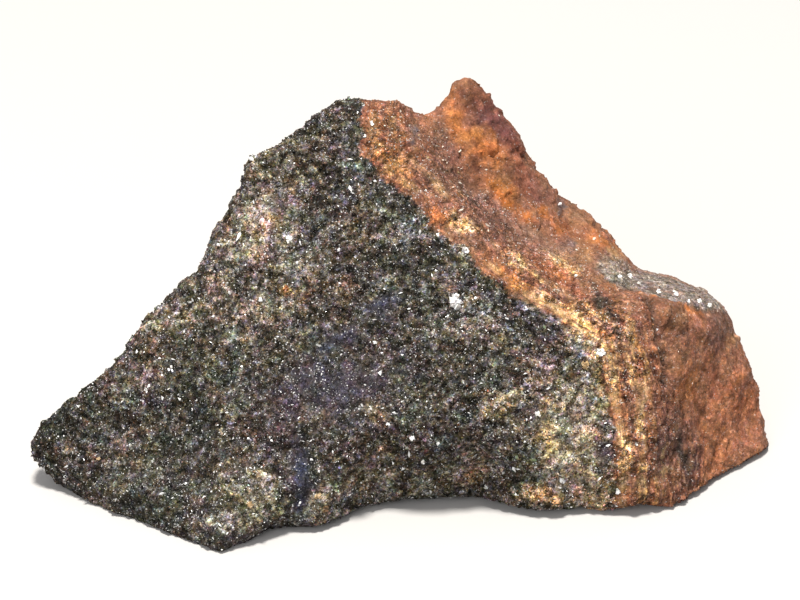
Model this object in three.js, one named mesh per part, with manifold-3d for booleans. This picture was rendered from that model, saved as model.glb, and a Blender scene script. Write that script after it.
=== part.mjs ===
// Mineralized hornfels: a hand specimen of dark, grainy contact rock with a rusty weathered rind.
// Millimetres. X runs along the stone, Y from its broad broken face to its back, Z up.
// The stone is one piece. It is drawn as a few overlapping broken blocks, given as the corners of
// their flat fracture faces, which are merged, hollowed, roughened and then cut flat where it rests.

import * as THREE from 'three';
import { ConvexHull } from 'three/addons/math/ConvexHull.js';
import { ImprovedNoise } from 'three/addons/math/ImprovedNoise.js';
import Module from 'manifold-3d';

const CELL = 1.72;          // spacing of the surface mesh
const JOIN_BLEND = 1.1;     // how softly neighbouring blocks run together
const HOLLOW_BLEND = 0.8;   // how softly a hollow meets the face it is in
const MARGIN = 4;           // empty space kept around the blocks
const SETTLE_ROUNDS = 4;    // passes that even out the surface mesh
const RELAX = 0.5;          // share of the way a point moves to its neighbours' middle
const NUDGE = 0.35;         // step for measuring the surface's slope
const LARGEST_MOVE = 0.5;   // how far one pass may push a point in or out
const FOOT_SNAP = 0.45;     // points this near the resting plane are set on it
const SLANT = 0.45;         // how far an undercut comes forward for each millimetre it rises
const AHEAD = -6;           // undercuts start this far back, in front of the stone
const BELOW = -4;           // and reach down to this height

// Corners of each block: [along, back, up]. What reaches below the resting plane is cut off.
const blocks = {
  core: [
    [-19, 3, -3], [22, 9.2, -3], [25.8, 11.8, -3], [26.4, 7.1, 2.5], [25, 10, 12.6], [24, 13.5, 19],
    [20.2, 15.6, 22.8], [12.6, 17.6, 27], [1.7, 22.5, 34.5], [-3, 28, 43.4], [-17, 25.5, 36.8],
    [-21.4, 21.5, 30], [-24, 14, 14], [-19, 1.2, 2], [-9, 36, 38], [-18, 35, 28], [-27, 40, -3],
    [21, 43, -3], [23, 38, 16], [1, 33, 39.5], [-31, 22, -3], [31, 20, -3],
  ],
  summit: [
    [-3, 28.5, 44.1], [-6, 28, 45], [-7.5, 27.5, 44], [-10.2, 27, 41.4], [-12.8, 26.5, 39.2],
    [0, 30, 43.6], [0.8, 31.5, 42.1], [2.5, 33, 39.3], [-8, 22, 34], [0, 24, 35], [4, 27, 32.5],
    [-6, 36, 40], [2, 37, 37], [-12, 34, 34],
  ],
  neck: [
    [-16.2, 25.5, 38], [-19.5, 24, 35], [-21.3, 22.5, 31.6], [-22, 21, 29.2], [-23, 19.5, 27],
    [-14, 18, 26], [-16, 30, 30], [-22, 27, 24], [-20, 14, 16], [-12, 24, 34],
  ],
  tail: [
    [-22.5, 19.5, 27], [-25, 18.5, 25.1], [-27.3, 18, 23.8], [-29.1, 17.5, 21.2], [-32, 16.5, 18.3],
    [-33.8, 16, 15.8], [-30, 9, 1.5], [-20, 3, -3], [-14, 8, 10], [-14, 14, 20], [-24, 31, 20],
    [-33, 27, 8], [-34, 24, -3], [-25, 34, -3],
  ],
  snout: [
    [-34.2, 16, 16.3], [-37.6, 15.5, 14.6], [-40.6, 15.5, 11.2], [-43.1, 15.5, 8.3], [-44.5, 15, 5.6],
    [-43.9, 14.3, 2.7], [-40.5, 14.8, 2.4], [-30, 9.8, 3], [-28, 12, 12], [-40, 22, 3], [-36, 24, 8],
    [-30, 24, 12], [-38, 20, 1],
  ],
  toe: [
    [-41.2, 14.6, 2.4], [-40.6, 16.4, -3], [-35.4, 16.1, -3], [-31.5, 12.4, -3], [-28, 9.6, -3],
    [-24, 5.2, -3], [-20, 0.9, -3], [-20.2, -0.3, 1], [-18.2, 2.6, -3], [-17, 4.5, -3], [-20, 2, 6],
    [-30, 8.5, 6], [-38, 14, 5], [-15.5, 4, 4], [-36, 22, -3], [-20, 20, -3],
  ],
  peak: [
    [4, 33.5, 40.2], [5.3, 34, 41.8], [5.3, 34.5, 43.8], [5.8, 35, 45.7], [7, 36, 46.7],
    [8.3, 36.5, 44.2], [9.8, 37.5, 41.3], [11.5, 38, 38.4], [13.8, 38.5, 35.1], [15.7, 39, 32.9],
    [17.4, 39, 30], [18.6, 39, 27.6], [8.2, 33, 37], [11.7, 33, 34], [18.6, 33, 29.2], [6, 27, 28],
    [14, 26, 24], [5, 43, 33], [13, 44, 20], [0, 41, 20],
  ],
  saddle: [
    [1.4, 32.5, 38.6], [2.9, 33, 40.9], [3.8, 33, 41.8], [5, 33.5, 41.6], [5.9, 34, 40.9],
    [2.5, 28, 35.8], [6.5, 28, 35], [3, 38, 37], [7, 38, 38], [5, 30, 33],
  ],
  shoulder: [
    [17.8, 39, 27.8], [19.6, 38.5, 25.9], [22.8, 38, 24.7], [24.8, 37, 22.8], [25.3, 36, 20.6],
    [27, 35, 19.2], [28.8, 34, 18.6], [23.5, 28, 24.4], [21, 20, 24.3], [26, 18, 22.2], [14, 26, 27],
    [12, 42, 14], [28, 41, 6], [10, 30, 10],
  ],
  rind: [
    [19.8, 15.8, 23], [24.4, 13.4, 18.8], [25.4, 9.6, 12.4], [26, 7.7, 3.2], [25.6, 12.4, -3],
    [29.8, 10.4, -3], [29, 8.9, 3], [29.9, 11.2, 14], [29.4, 16, 23.6], [20, 30, 18], [30, 30, 15],
    [25, 35, -3], [24, 19, 23.8],
  ],
  endBlock: [
    [29, 16.6, 23.6], [37, 22, 17.9], [28.6, 34, 18.6], [32, 32, 19], [33.2, 31, 17.8], [35, 30, 16.8],
    [38.5, 28, 17.6], [39.4, 27.5, 13], [42.2, 27, 9.2], [43.7, 26.5, 5.2], [44.4, 26, 2],
    [44.4, 25, 0.5], [43.9, 26, -3], [41.6, 23.8, -3], [40, 21.8, -3], [36.4, 17.6, -3], [32.4, 11.4, -3],
    [29.8, 9.5, -3], [29, 11, 14], [20, 20, 2], [22, 22, 20], [40, 35, -3], [34, 37, 11], [27, 41, -3],
  ],
};

// A hollow block that is missing from the stone.
const gully = [
  [6, 31, 37.4], [6.4, 28.6, 33.6], [9, 25.6, 30.4], [21, 19.6, 24.4], [12, 22, 31.5], [14.5, 29, 30.4],
  [24.5, 24, 24.4], [18, 22, 33], [10, 30, 36.4],
];

// Breaks that slant in under the broad face, as points along each: [along, how far back it meets the ground].
const undercuts = {
  foot: [[-18.5, 1.6], [-13.4, 6.2], [-7, 8], [31, 11.5]],
  arch: [[-9.5, 7], [-2.4, 12.8], [9.4, 13], [16.5, 9.8]],
};

function undercutCorners(line) {
  return line.flatMap(([along, back]) => [
    [along, AHEAD, BELOW],
    [along, back - SLANT * BELOW, BELOW],
    [along, AHEAD, (back - AHEAD) / SLANT],
  ]);
}

// A convex block as its face planes, so that the largest plane distance says how far out a point is.
function facePlanes(corners) {
  const hull = new ConvexHull().setFromPoints(corners.map((corner) => new THREE.Vector3(...corner)));
  return hull.faces.map((face) => [face.normal.x, face.normal.y, face.normal.z, face.constant]);
}

function blockDistance(planes, x, y, z) {
  let most = -Infinity;
  for (const [nx, ny, nz, constant] of planes) {
    most = Math.max(most, nx * x + ny * y + nz * z - constant);
  }
  return most;
}

function smoothMin(a, b, width) {
  const share = Math.max(width - Math.abs(a - b), 0) / width;
  return Math.min(a, b) - share * share * width / 4;
}

const noise = new ImprovedNoise();

// Broken-rock roughness: hackly ridges over broad swells.
function roughness(x, y, z) {
  const swell = noise.noise(x / 17 + 3.1, y / 17 + 7.7, z / 17 + 1.3);
  const bend = 0.6 * swell;
  const lump = noise.noise(x / 8 + 11.2 + bend, y / 8 + 5.9 - bend, z / 8 + 9.4);
  const hackle = Math.abs(noise.noise(x / 5.2 + 2.7 - bend, y / 5.2 + 8.1, z / 5.2 + 4.4 + bend));
  return 0.8 * swell + 1.0 * lump + 0.8 * (0.22 - hackle);
}

const blockPlanes = Object.values(blocks).map(facePlanes);
const hollowPlanes = [gully, ...Object.values(undercuts).map(undercutCorners)].map(facePlanes);

function stoneField(x, y, z) {
  let field = Infinity;
  for (const planes of blockPlanes) {
    const distance = blockDistance(planes, x, y, z);
    field = field === Infinity ? distance : smoothMin(field, distance, JOIN_BLEND);
  }
  for (const planes of hollowPlanes) {
    field = -smoothMin(-field, blockDistance(planes, x, y, z), HOLLOW_BLEND);
  }
  return field - roughness(x, y, z);
}

const cellCorners = Array.from({ length: 8 }, (_, corner) => [corner & 1, (corner >> 1) & 1, corner >> 2]);
const cellFaces = [[0, 1, 2, 3], [4, 5, 6, 7], [0, 1, 4, 5], [2, 3, 6, 7], [0, 2, 4, 6], [1, 3, 5, 7]];

// Whether the corners in a set can be reached from each other along the cell's edges.
function joined(set) {
  let reached = set & -set;
  for (let pass = 0; pass < 4; pass += 1) {
    for (let corner = 0; corner < 8; corner += 1) {
      if (((reached >> corner) & 1) === 0) continue;
      for (const bit of [1, 2, 4]) reached |= (1 << (corner ^ bit)) & set;
    }
  }
  return reached === set;
}

// Whether the surface would pass through a cell as two sheets, which would pinch the mesh.
function pinched(set) {
  const solid = (corner) => (set >> corner) & 1;
  const crossed = cellFaces.some(([a, b, c, d]) => solid(a) === solid(d) && solid(b) === solid(c)
    && solid(a) !== solid(b));
  return crossed || !joined(set) || !joined(~set & 255);
}

// Turns the weakest corner of each pinched cell over, until none is left.
function unpinch(values, size, index) {
  let turned = true;
  while (turned) {
    turned = false;
    for (let i = 0; i + 1 < size[0]; i += 1) {
      for (let j = 0; j + 1 < size[1]; j += 1) {
        for (let k = 0; k + 1 < size[2]; k += 1) {
          const places = cellCorners.map(([di, dj, dk]) => index(i + di, j + dj, k + dk));
          const set = places.reduce((sum, place, corner) => sum | ((values[place] < 0 ? 1 : 0) << corner), 0);
          if (set === 0 || set === 255 || !pinched(set)) continue;
          const weakest = places.reduce((a, b) => (Math.abs(values[b]) < Math.abs(values[a]) ? b : a));
          values[weakest] = values[weakest] < 0 ? CELL / 10 : -CELL / 10;
          turned = true;
        }
      }
    }
  }
}

// Surface nets: one vertex in each grid cell that the surface crosses, one quad for each crossed grid edge.
function meshField(field, low, high, cell) {
  const size = [0, 1, 2].map((axis) => Math.ceil((high[axis] - low[axis]) / cell) + 1);
  const index = (i, j, k) => (i * size[1] + j) * size[2] + k;
  const values = new Float64Array(size[0] * size[1] * size[2]);
  const at = (axis, step) => low[axis] + step * cell;
  for (let i = 0; i < size[0]; i += 1) {
    for (let j = 0; j < size[1]; j += 1) {
      for (let k = 0; k < size[2]; k += 1) {
        values[index(i, j, k)] = field(at(0, i), at(1, j), at(2, k));
      }
    }
  }
  unpinch(values, size, index);
  const positions = [];
  const vertexOf = new Map();
  for (let i = 0; i + 1 < size[0]; i += 1) {
    for (let j = 0; j + 1 < size[1]; j += 1) {
      for (let k = 0; k + 1 < size[2]; k += 1) {
        const sum = [0, 0, 0];
        let crossings = 0;
        for (let edge = 0; edge < 12; edge += 1) {
          const axis = edge >> 2;
          const start = [0, 0, 0];
          start[(axis + 1) % 3] = edge & 1;
          start[(axis + 2) % 3] = (edge >> 1) & 1;
          const end = [...start];
          end[axis] = 1;
          const a = values[index(i + start[0], j + start[1], k + start[2])];
          const b = values[index(i + end[0], j + end[1], k + end[2])];
          if (a < 0 === b < 0) continue;
          start[axis] = a / (a - b);
          for (let d = 0; d < 3; d += 1) sum[d] += start[d];
          crossings += 1;
        }
        if (crossings === 0) continue;
        vertexOf.set(index(i, j, k), positions.length / 3);
        positions.push(
          at(0, i + sum[0] / crossings), at(1, j + sum[1] / crossings), at(2, k + sum[2] / crossings));
      }
    }
  }
  const quads = [];
  for (let i = 1; i + 1 < size[0]; i += 1) {
    for (let j = 1; j + 1 < size[1]; j += 1) {
      for (let k = 1; k + 1 < size[2]; k += 1) {
        for (let axis = 0; axis < 3; axis += 1) {
          const step = [0, 0, 0];
          step[axis] = 1;
          const inside = values[index(i, j, k)] < 0;
          if (inside === values[index(i + step[0], j + step[1], k + step[2])] < 0) continue;
          const u = [0, 0, 0];
          const v = [0, 0, 0];
          u[(axis + 1) % 3] = 1;
          v[(axis + 2) % 3] = 1;
          const quad = [[0, 0], [1, 0], [1, 1], [0, 1]].map(([p, q]) => vertexOf.get(
            index(i - p * u[0] - q * v[0], j - p * u[1] - q * v[1], k - p * u[2] - q * v[2])));
          if (!inside) quad.reverse();
          quads.push(...quad);
        }
      }
    }
  }
  return { positions, quads };
}

function slopeOf(field, [x, y, z]) {
  return [
    (field(x + NUDGE, y, z) - field(x - NUDGE, y, z)) / (2 * NUDGE),
    (field(x, y + NUDGE, z) - field(x, y - NUDGE, z)) / (2 * NUDGE),
    (field(x, y, z + NUDGE) - field(x, y, z - NUDGE)) / (2 * NUDGE),
  ];
}

// Slides the mesh's points towards the middle of their neighbours, then back onto the surface.
// The last round leaves out the way back, which takes the sharpest points off.
function settle(field, positions, quads) {
  const count = positions.length / 3;
  for (let round = 0; round <= SETTLE_ROUNDS; round += 1) {
    const reach = round < SETTLE_ROUNDS ? LARGEST_MOVE : 0;
    const sums = new Float64Array(positions.length);
    const shares = new Uint16Array(count);
    for (let q = 0; q < quads.length; q += 4) {
      for (let corner = 0; corner < 4; corner += 1) {
        const from = quads[q + corner];
        const to = quads[q + (corner + 1) % 4];
        shares[from] += 1;
        for (let d = 0; d < 3; d += 1) sums[3 * from + d] += positions[3 * to + d];
      }
    }
    for (let n = 0; n < count; n += 1) {
      const point = [0, 1, 2].map((d) => {
        const here = positions[3 * n + d];
        return here + RELAX * (sums[3 * n + d] / shares[n] - here);
      });
      const slope = slopeOf(field, point);
      const steepness = Math.max(Math.hypot(...slope), 0.6);
      const miss = THREE.MathUtils.clamp(field(...point) / steepness, -reach, reach);
      for (let d = 0; d < 3; d += 1) positions[3 * n + d] = point[d] - miss * slope[d] / steepness;
    }
  }
}

// Folds each quad along the diagonal that lies closer to the surface, so that ridges stay crisp.
function folded(field, positions, quads) {
  const triangles = [];
  const miss = (m, n) => {
    const between = [0, 1, 2].map((d) => (positions[3 * m + d] + positions[3 * n + d]) / 2);
    return Math.abs(field(...between));
  };
  for (let q = 0; q < quads.length; q += 4) {
    const [a, b, c, d] = quads.slice(q, q + 4);
    if (miss(a, c) <= miss(b, d)) triangles.push(a, b, c, a, c, d);
    else triangles.push(a, b, d, b, c, d);
  }
  return triangles;
}

const { Manifold, Mesh } = await Module().then((wasm) => {
  wasm.setup();
  return wasm;
});

// Cuts the stone flat at the plane it rests on.
function cutFoot(positions, triangles) {
  for (let n = 2; n < positions.length; n += 3) {
    if (Math.abs(positions[n]) < FOOT_SNAP) positions[n] = 0;
  }
  const whole = new Manifold(new Mesh({
    numProp: 3,
    vertProperties: Float32Array.from(positions),
    triVerts: Uint32Array.from(triangles),
  }));
  return whole.trimByPlane([0, 0, 1], 0).getMesh();
}

function stoneGeometry() {
  const all = Object.values(blocks).flat();
  const low = [0, 1, 2].map((axis) => Math.min(...all.map((corner) => corner[axis])) - MARGIN);
  const high = [0, 1, 2].map((axis) => Math.max(...all.map((corner) => corner[axis])) + MARGIN);
  const { positions, quads } = meshField(stoneField, low, high, CELL);
  settle(stoneField, positions, quads);
  const cut = cutFoot(positions, folded(stoneField, positions, quads));
  const geometry = new THREE.BufferGeometry();
  geometry.setAttribute('position', new THREE.Float32BufferAttribute(cut.vertProperties, 3));
  geometry.setIndex(Array.from(cut.triVerts));
  geometry.computeVertexNormals();
  return geometry;
}

const hornfels = new THREE.Mesh(
  stoneGeometry(),
  new THREE.MeshStandardMaterial({ color: 0x4d4a44, roughness: 0.7, metalness: 0.05 }),
);
hornfels.name = 'hornfels';

// The frame's origin is the middle of the stone's foot print.
const middle = new THREE.Box3().setFromObject(hornfels).getCenter(new THREE.Vector3());
hornfels.position.set(-middle.x, -middle.y, 0);

const stone = new THREE.Group();
stone.add(hornfels);
export default stone;
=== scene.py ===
import math

import bpy
import numpy as np
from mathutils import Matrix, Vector


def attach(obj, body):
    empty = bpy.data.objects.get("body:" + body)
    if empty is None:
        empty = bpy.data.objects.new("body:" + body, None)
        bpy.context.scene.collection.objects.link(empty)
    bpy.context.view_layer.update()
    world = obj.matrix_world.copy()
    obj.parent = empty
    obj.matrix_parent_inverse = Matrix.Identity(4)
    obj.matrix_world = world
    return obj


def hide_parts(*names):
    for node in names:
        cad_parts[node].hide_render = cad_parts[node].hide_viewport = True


# The stone is worked out in millimetres, and its meshes hold metres.
# Marks on the broad front face are placed by (across, up): across runs towards the rusty end,
# up runs up the leaning face, and each mark runs straight back into the stone from there.

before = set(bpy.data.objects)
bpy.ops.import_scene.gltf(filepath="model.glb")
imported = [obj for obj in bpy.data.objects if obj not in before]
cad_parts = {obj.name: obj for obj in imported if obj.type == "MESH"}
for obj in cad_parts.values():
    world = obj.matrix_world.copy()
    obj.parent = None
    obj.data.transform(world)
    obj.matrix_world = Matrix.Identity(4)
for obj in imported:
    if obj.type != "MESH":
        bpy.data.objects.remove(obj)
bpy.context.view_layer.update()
mm = 0.001
faceLean = math.radians(28)
print("frame loaded")


# repeatable patterns

farAway = 1e9        # mm, farther than anything is
layerShift = 31.7    # mm, keeps the layers of one noise from lining up


def cellNumber(cell, salt):
    # one number from 0 to 1 for each whole-number cell
    x, y, z = cell[..., 0], cell[..., 1], cell[..., 2]
    h = (x * 73856093) ^ (y * 19349663) ^ (z * 83492791) ^ (salt * 668265263)
    h = h & 0xFFFFFFFF
    h = ((h ^ (h >> 15)) * 2246822519) & 0xFFFFFFFF
    h = ((h ^ (h >> 13)) * 3266489917) & 0xFFFFFFFF
    return (h ^ (h >> 16)) / 4294967295.0


def softNoise(points, width, salt):
    # smooth hills and dips about one width across, from -1 to 1
    place = points / width
    cell = np.floor(place).astype(np.int64)
    part = place - cell
    part = part * part * (3 - 2 * part)
    total = np.zeros(len(points))
    for corner in range(8):
        step = np.array([corner & 1, corner >> 1 & 1, corner >> 2])
        share = np.prod(np.where(step == 1, part, 1 - part), axis=1)
        total += share * cellNumber(cell + step, salt)
    return 2 * total - 1


def layeredNoise(points, width, layers, salt):
    total = np.zeros(len(points))
    for layer in range(layers):
        total += softNoise(points + layerShift * layer, width / 2 ** layer, salt + layer) / 2 ** layer
    return total / (2 - 2 ** (1 - layers))


def threeWay(points, width, layers, salt, apart=1):
    # a noise of its own for each of three directions
    return np.stack([layeredNoise(points, width, layers, salt + apart * n) for n in range(3)], axis=1)


def summed(points, waves):
    # the sum of a few noises: height, width in mm, layers, salt
    return sum(height * layeredNoise(points, width, layers, salt) for height, width, layers, salt in waves)


def crackle(points, width, salt):
    # a packing of grains: distance to the nearest middle and to the next one, the nearest grain's
    # own number, and how high its leaning face stands here, in mm
    cell = np.floor(points / width).astype(np.int64)
    nearest = np.full(len(points), farAway)
    second = np.full(len(points), farAway)
    owner = cell.copy()
    offset = np.zeros(points.shape)
    for i in (-1, 0, 1):
        for j in (-1, 0, 1):
            for k in (-1, 0, 1):
                other = cell + np.array([i, j, k])
                jitter = np.stack([cellNumber(other, salt + n) for n in range(3)], axis=1)
                toPoint = points - (other + jitter) * width
                away = np.linalg.norm(toPoint, axis=1)
                closer = away < nearest
                second = np.where(closer, nearest, np.minimum(second, away))
                owner = np.where(closer[:, None], other, owner)
                offset = np.where(closer[:, None], toPoint, offset)
                nearest = np.where(closer, away, nearest)
    lean = np.stack([2 * cellNumber(owner, salt + n) - 1 for n in (8, 9, 10)], axis=1)
    return nearest, second, cellNumber(owner, salt + 7), (offset * lean).sum(1)


def ease(low, high, value):
    t = np.clip((value - low) / (high - low), 0, 1)
    return t * t * (3 - 2 * t)


lightLevel = 2.1    # how much brighter the studio is than a plain white card needs


def paint(red, green, blue):
    # a colour by the screen values it should show under the studio's light, 0 to 255;
    # the numbers are those of the usual screen curve
    screen = np.array([red, green, blue]) / 255
    return np.where(screen <= 0.04045, screen / 12.92, ((screen + 0.055) / 1.055) ** 2.4) / lightLevel


# where the kinds of rock lie

rind = {
    # the line between dark rock and rusty rind on the front face, from the summit down: (across, up)
    "edge": [(-6.5, 46), (-4.6, 41.6), (-5, 39.4), (-4.3, 37.6), (-4.9, 36.4), (-3.9, 34.4), (-2.8, 32.6),
             (-0.2, 31.2), (1.3, 29.9), (2.6, 27.8), (6.2, 24.9), (9.2, 21.7), (12.2, 19.3), (17.4, 16.3),
             (21.6, 13.6), (23.4, 7.2), (23.9, 1.5), (24.2, -4.2), (24.4, -14)],
    # the line between the layered rind and the plain end face
    "end": [(27.5, 34), (26.5, 22), (28.8, 16.2), (29.4, 13.6), (30.2, 10), (31.4, 7.2), (33.2, 4.4),
            (34.2, 1.5), (34.8, -1.4), (35.6, -4), (38, -12)],
    # the lower side of the pale ledge along the shoulder
    "ledge": [(21.5, 21.6), (25.1, 20.2), (28, 19.3), (30.5, 18.6), (33.2, 17.8), (35, 17.4), (37, 17.5),
              (39.5, 16)],
    "crack": [(27.9, 18.8), (28.9, 16.4), (29.3, 13.6), (29.8, 11.6), (30, 9)],
    # lumps that stand out: middle, half widths, turn, height in mm
    "lumps": [((30.7, 16.9), (1.2, 1.9), -30, 0.55), ((36.4, 15.6), (1.9, 2.4), 0, 0.4),
              ((33.4, 2), (1.2, 4), 18, 0.45), ((31.2, 11.2), (1.2, 1.8), 10, 0.3),
              ((28, 19.6), (1, 0.7), 0, 0.35)],
    # thin layers: distance behind the edge in mm, half width, tone, strength
    "layers": [(0.25, 0.3, "brown", 0.6), (0.95, 0.45, "straw", 0.8), (1.75, 0.25, "orange", 0.7),
               (2.3, 0.45, "dusk", 0.9), (3.3, 0.45, "straw", 0.9), (4, 0.22, "plum", 0.8),
               (4.4, 0.3, "rust", 0.8), (4.9, 0.2, "ochre", 0.8), (5.4, 0.3, "plum", 0.8)],
}

marks = {
    # each mark: middle (across, up), half widths, turn in degrees, strength
    # places on the dark rock
    "olive": [
        ((-26, -2), (9, 6), 0, 0.9), ((-20, 8), (6, 4), 0, 0.4),
    ],
    "pale": [
        ((-16.4, 27.5), (3.8, 7.2), -28, 0.68), ((-13.6, 33.4), (1.6, 2), -40, 0.3),
        ((-12.2, 23.4), (3.4, 2.2), 0, 0.5), ((18.8, 2.4), (4.2, 7.2), 14, 1.0),
        # the pale mark at (21.6, -2.2) is real pale rock, lightened further as painted light where the lip
        # shades it near the floor
        ((21.6, -2.2), (2, 4), 0, 0.95), ((19.4, 8.4), (2.6, 3), 0, 0.55),
        ((20.6, 13.8), (1.8, 1.2), -30, 0.9), ((15.2, 17.4), (1.9, 0.8), -32, 0.85),
        ((-16.2, -2.6), (1.1, 2.4), 22, 0.6), ((-17.8, -4.8), (1.5, 1.6), 0, 0.8),
        ((-19.6, -6.2), (1.5, 1.1), 0, 0.8), ((-21.6, -7), (1.4, 1), 0, 0.7),
        ((-10, -4), (1.3, 2), 10, 0.8), ((13.8, 1.2), (1.8, 1.2), 0, 0.4),
        ((-24.8, 20.2), (1.2, 1.1), 0, 0.5), ((-8, -3.4), (2.8, 2), 10, 0.9),
        ((-13.8, -5.4), (1.6, 1.6), 0, 0.4), ((-32.4, 3), (1.6, 1.2), 0, 0.4),
        ((-21.6, 19), (2.2, 3.2), -35, 0.6), ((-21, 23), (1.4, 1.8), -30, 0.4),
        ((-16.6, 17.4), (3.4, 1.6), 20, 0.5), ((-19.6, 14), (1.6, 1.4), 0, 0.5),
        ((-13.6, 23.2), (1.8, 1.4), 0, 0.6), ((12.8, 7.8), (2.2, 1.3), 20, 0.8),
        ((9.5, 15), (3.4, 2), -35, 0.45), ((-3, 6), (2.6, 1.2), 0, 0.3), ((-30, 10), (2.6, 1.6), 30, 0.35),
        ((19.6, -3.6), (3, 1.5), 0, 0.7), ((-28, 16), (2, 3), -40, 0.3), ((4.5, 20), (1.6, 1.2), 0, 0.3),
        ((3.2, 15.8), (1.6, 1.4), 0, 0.35), ((5.1, 8.4), (1.8, 1.6), 0, 0.3),
        ((-4.2, 32.4), (1.2, 1.8), 0, 0.35), ((-0.4, 30.2), (1.4, 1), -30, 0.3),
        ((8.4, -0.4), (3, 1.8), 0, 0.5), ((-0.9, 19.7), (1.5, 1.1), 0, 0.35),
        ((-6.5, 19.7), (1.5, 1.1), 0, 0.35), ((-6.4, -2.2), (1.3, 1.4), 0, 0.5),
        ((-17.6, 32.4), (1.1, 1.5), -20, 0.5), ((-3.6, -1.4), (3, 2.4), 0, 0.4),
        ((3.2, -2.4), (3.4, 1.6), 0, 0.4),
    ],
    "cream": [
        ((16.2, 2.8), (1.2, 2.6), 25, 1.0), ((22.8, 10.4), (1, 3.6), 8, 0.85),
        ((19.6, 15.4), (1.6, 0.7), -30, 0.8), ((16.2, 7.2), (1.3, 0.6), 30, 0.7),
        ((11.8, 7.4), (1.4, 0.8), 0, 0.5), ((21.4, 2.8), (1.4, 1), 0, 0.5), ((19.6, 0.4), (1, 1), 0, 0.6),
        # painted light: the cream mark at (21.6, -3.6) lightens the rock low on the right where the lip
        # shades it near the floor
        ((21.6, -3.6), (2.2, 2.4), 0, 0.7), ((20.2, -0.8), (1.6, 1.2), 0, 0.6),
        ((16.2, -3.4), (3, 0.9), 0, 0.9), ((9.8, 6.6), (1.6, 1.2), 0, 0.45),
        ((18.6, 6.4), (1.2, 2.4), 10, 0.6), ((20.4, 0.6), (1.2, 1.6), 0, 0.6),
        ((-36, 0.4), (0.5, 0.5), 0, 0.8), ((-16, 26.5), (1.3, 3.4), -25, 0.3),
        ((-13.6, 19.8), (0.6, 0.5), 0, 0.9), ((8, -2), (1, 0.7), 0, 0.4),
    ],
    "fine": [
        ((-8.5, 8), (7.6, 4.6), 20, 1.0), ((-13, 0.6), (4, 5), 0, 0.45),
        ((-16.5, -8.2), (4.5, 1.8), 8, 0.6), ((0, 9.6), (5, 1.6), 12, 0.5),
    ],
    "bluish": [
        ((-2.6, 17.6), (2.6, 1.3), 36, 1.0), ((-6.8, 14.2), (3, 1.4), 20, 0.95),
        ((-11.6, 10.4), (2.4, 1.8), 0, 0.6), ((-12, -1.6), (1.1, 5.2), 6, 1.0),
        ((-5.4, 9), (3.4, 2), 30, 0.55), ((19, 4.6), (1, 1.4), 0, 0.6), ((15, 5.2), (1.1, 1.5), 0, 0.8),
        ((22.8, 1.3), (1, 1.2), 0, 0.85), ((18.4, 7.4), (1, 0.9), 0, 0.5), ((-14.4, 29), (1, 1.4), 0, 0.5),
    ],
    "darkest": [
        ((-39, 3), (5, 5), 0, 0.8), ((-30, 0.6), (8, 5), -20, 0.55), ((0, 34.6), (4, 5), 0, 0.12),
        ((-1.6, 24), (5, 3.4), -30, 0.25), ((-4.2, 21.6), (2.2, 1.8), 0, 0.5),
        ((7.4, 16), (2, 1.6), 0, 0.3), ((15.6, 13.6), (3.6, 2.2), -30, 0.6),
        ((13.4, 4), (2.2, 2.6), 0, 0.4), ((12, 20.2), (4.4, 1.6), -35, 0.2),
        ((5, -0.6), (4.4, 2.6), 0, 0.1), ((-21.5, 1.6), (2.6, 2), 0, 0.4),
        ((-21.4, 12.2), (1.6, 1), 0, 0.35), ((-19.4, 8.6), (1.6, 1.4), 0, 0.3),
        ((21, 10.8), (1.2, 1.2), 0, 0.5), ((10.8, 10.4), (2.6, 1.8), -30, 0.4),
    ],
    # rusty places that are as grainy as the dark rock
    "granular": [
        ((6.2, 27.7), (2.6, 1), -24, 0.9), ((13.4, 22.7), (2.2, 1.2), -44, 1.0),
        ((18.4, 22.9), (2.3, 1.2), -30, 1.0), ((16.6, 19.2), (3.2, 1), -28, 0.9),
        ((21.6, 17), (2.6, 1.6), -30, 1.0), ((23.6, 16.6), (1.8, 3), 24, 1.0),
        ((-2.6, 36), (2.4, 4.4), 12, 0.6), ((3.6, 36.8), (1.6, 2.6), 0, 0.5),
        ((8.2, 30.4), (1.6, 1), 0, 0.5),
    ],
    # rusty places with scattered bright grains
    "golden": [
        ((3, 33), (6, 5), -30, 0.8), ((10, 27), (7, 3.4), -36, 1.0), ((18, 24), (6, 4), -36, 0.9),
        ((26, 10), (2.6, 12), 3, 0.9), ((-2, 39), (3.4, 3.6), 0, 0.7), ((30.4, 4), (1.6, 9), 14, 0.5),
    ],
}

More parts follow.
